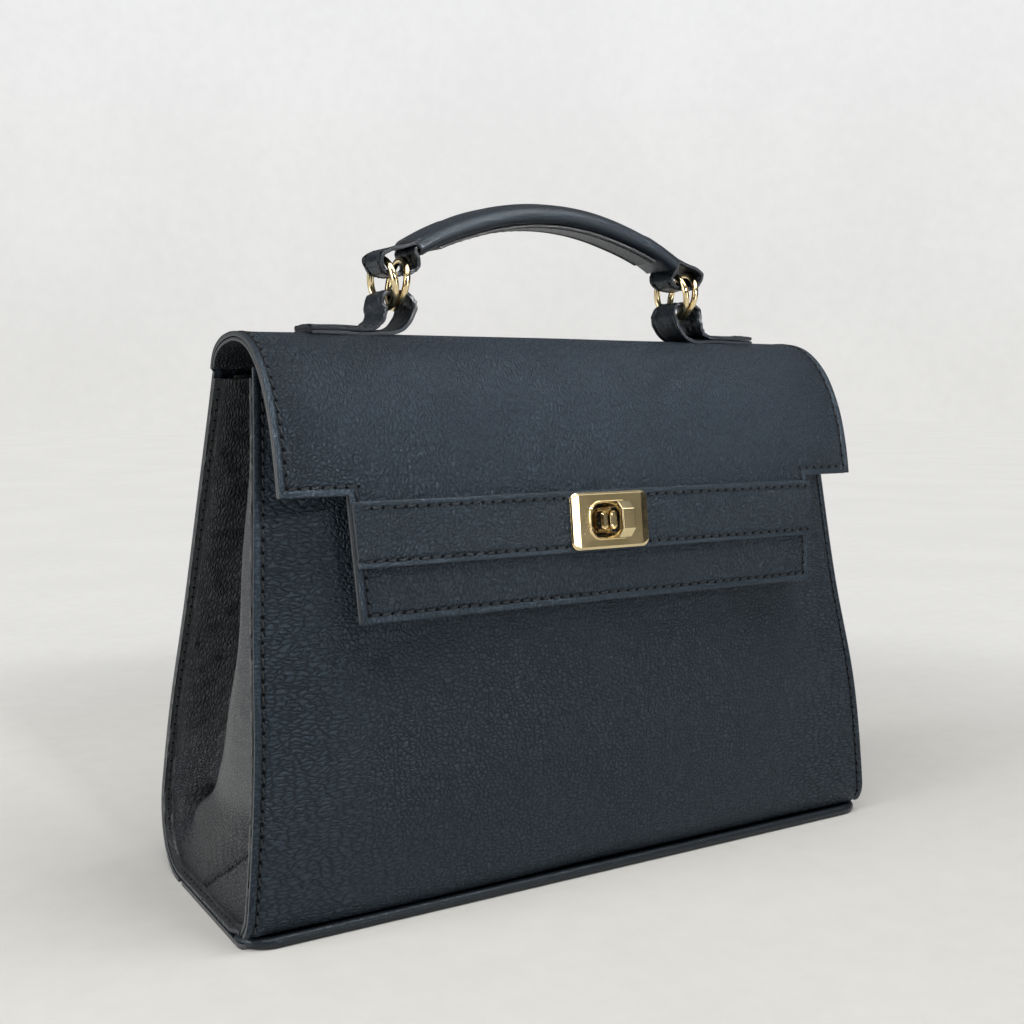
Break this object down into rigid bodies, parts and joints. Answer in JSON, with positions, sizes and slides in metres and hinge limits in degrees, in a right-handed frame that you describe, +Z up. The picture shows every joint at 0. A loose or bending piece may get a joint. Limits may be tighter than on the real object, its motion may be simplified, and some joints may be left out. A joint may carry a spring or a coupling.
{
  "type": "handbag",
  "caption": "Structured leather handbag with folded side gussets, a wrap-over front flap with a stitched band and turn lock, and a padded top handle hung in ring pairs.",
  "frame": {"origin": "on the ground under the middle of the bag's base", "axes": "+Z up, the bag's front with its lock faces -Y, +X to the right of someone who looks at the front"},
  "size_m": [0.3, 0.1265, 0.2695],
  "materials": {
    "shell_leather": "fine grain, soft sheen",
    "edge_leather": "painted edge",
    "lining_leather": "smooth matt",
    "board": "matt board",
    "gold_metal": "polished pale gold"
  },
  "bodies": {
    "bag": {"front_panel": "shell_leather", "back_panel": "shell_leather", "left_gusset": "shell_leather", "right_gusset": "shell_leather", "base_panel": "shell_leather", "base_welt": "edge_leather", "base_board": "board", "base_lining": "lining_leather", "front_stiffener": "board", "back_stiffener": "board", "front_lining": "lining_leather", "back_lining": "lining_leather", "left_gusset_lining": "lining_leather", "right_gusset_lining": "lining_leather", "slip_pocket": "lining_leather", "lock_base": "gold_metal", "lock_washer": "gold_metal"},
    "flap": {"flap_outer": "shell_leather", "flap_lining": "shell_leather", "flap_band": "shell_leather", "lock_plate": "gold_metal", "lock_back_plate": "gold_metal", "left_handle_tab": "shell_leather", "right_handle_tab": "shell_leather"},
    "handle": {"grip_cover": "shell_leather", "grip_core": "board", "grip_underside": "shell_leather", "left_grip_loop": "shell_leather", "right_grip_loop": "shell_leather"},
    "left_outer_ring": {"left_outer_ring": "gold_metal"},
    "left_inner_ring": {"left_inner_ring": "gold_metal"},
    "right_outer_ring": {"right_outer_ring": "gold_metal"},
    "right_inner_ring": {"right_inner_ring": "gold_metal"},
    "staple": {"turn_staple": "gold_metal"}
  },
  "joints": [
    {"name": "flap_hinge", "type": "hinge", "parent": "bag", "child": "flap", "pos_m": [0, 0.016, 0.203], "axis": [-1, 0, 0], "range_deg": [0, 110]},
    {"name": "handle_swing", "type": "hinge", "parent": "flap", "child": "handle", "pos_m": [0, -0.01, 0.2355], "axis": [1, 0, 0], "range_deg": [-34, 34]},
    {"name": "staple_turn", "type": "hinge", "parent": "bag", "child": "staple", "pos_m": [0, -0.05579, 0.14436], "axis": [0, -0.9928, 0.1201], "range_deg": [0, 90]},
    {"name": "left_outer_ring_turn", "type": "hinge", "parent": "flap", "child": "left_outer_ring", "pos_m": [-0.0728, -0.01, 0.2355], "axis": [1, 0, 0], "continuous": true},
    {"name": "left_inner_ring_turn", "type": "hinge", "parent": "flap", "child": "left_inner_ring", "pos_m": [-0.0672, -0.01, 0.2355], "axis": [1, 0, 0], "continuous": true},
    {"name": "right_outer_ring_turn", "type": "hinge", "parent": "flap", "child": "right_outer_ring", "pos_m": [0.0728, -0.01, 0.2355], "axis": [1, 0, 0], "continuous": true},
    {"name": "right_inner_ring_turn", "type": "hinge", "parent": "flap", "child": "right_inner_ring", "pos_m": [0.0672, -0.01, 0.2355], "axis": [1, 0, 0], "continuous": true}
  ]
}
